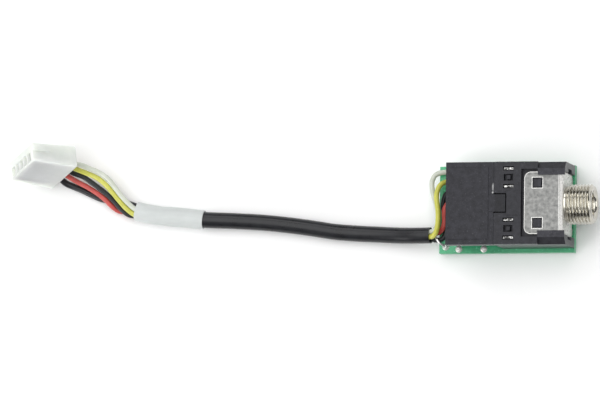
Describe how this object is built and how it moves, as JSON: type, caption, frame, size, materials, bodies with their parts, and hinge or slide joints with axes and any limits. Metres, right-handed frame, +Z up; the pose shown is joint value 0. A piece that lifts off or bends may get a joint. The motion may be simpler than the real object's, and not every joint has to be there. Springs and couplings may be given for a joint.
{
  "type": "audio jack socket",
  "caption": "Threaded 3.5 mm stereo jack socket on a small circuit board, with a short shielded cable, coloured leads and a white crimp plug.",
  "frame": {"origin": "middle of the board and jack in plan, without the cable and its plug, at the tips of the solder under the board", "axes": "+X along the jack axis towards its threaded mouth, +Z up from the board, +Y to the left seen from behind the cable"},
  "size_m": [0.0902, 0.0165, 0.0113],
  "materials": {
    "board_green": "green solder mask over glass laminate, paler cut edge",
    "solder": "bright tin solder",
    "housing_black": "matte black moulded plastic, lightly scuffed",
    "nickel_sheet": "nickel plated sheet, dull and slightly mottled",
    "nickel_turned": "nickel plated turned thread, warm tone",
    "contact_brass": "spring brass",
    "contact_tinned": "tin plated brass",
    "jacket_black": "satin black flexible plastic",
    "sleeve_white": "white shrink tube, satin",
    "lead_grey": "pale grey insulation, satin",
    "lead_yellow": "yellow insulation, satin",
    "lead_black": "black insulation, satin",
    "lead_red": "red insulation, satin",
    "drain_tinned": "bare tinned strands",
    "plug_white": "natural white nylon, slightly translucent"
  },
  "bodies": {
    "jack": {"circuit_board": "board_green", "solder_joints": "solder", "front_housing": "housing_black", "rear_housing": "housing_black", "front_plate": "nickel_sheet", "threaded_bushing": "nickel_turned", "tip_terminal": "contact_brass", "ring_terminal": "contact_brass", "tip_break_contact": "contact_tinned", "ring_break_contact": "contact_tinned", "tip_make_contact": "contact_tinned", "ring_make_contact": "contact_tinned", "cable_jacket": "jacket_black", "shrink_sleeve": "sleeve_white", "grey_lead": "lead_grey", "yellow_lead": "lead_yellow", "black_lead": "lead_black", "red_lead": "lead_red", "drain_lead": "drain_tinned", "drain_tube": "jacket_black", "plug_housing": "plug_white", "crimp_terminal_1": "contact_tinned", "crimp_terminal_2": "contact_tinned", "crimp_terminal_3": "contact_tinned", "crimp_terminal_4": "contact_tinned", "crimp_terminal_5": "contact_tinned"},
    "tip_leaf": {"tip_spring": "contact_brass"},
    "ring_leaf": {"ring_spring": "contact_brass"}
  },
  "joints": [
    {"name": "tip_spring_flex", "type": "hinge", "parent": "jack", "child": "tip_leaf", "pos_m": [-0.00773, 0.00305, 0.0056], "axis": [0, 0, 1], "range_deg": [0, 3.75], "stiffness_Nm_per_rad": 0.14, "springref_deg": -1.72},
    {"name": "ring_spring_flex", "type": "hinge", "parent": "jack", "child": "ring_leaf", "pos_m": [-0.00773, -0.00255, 0.0056], "axis": [0, 0, -1], "range_deg": [0, 2.95], "stiffness_Nm_per_rad": 0.18, "springref_deg": -1.72}
  ]
}
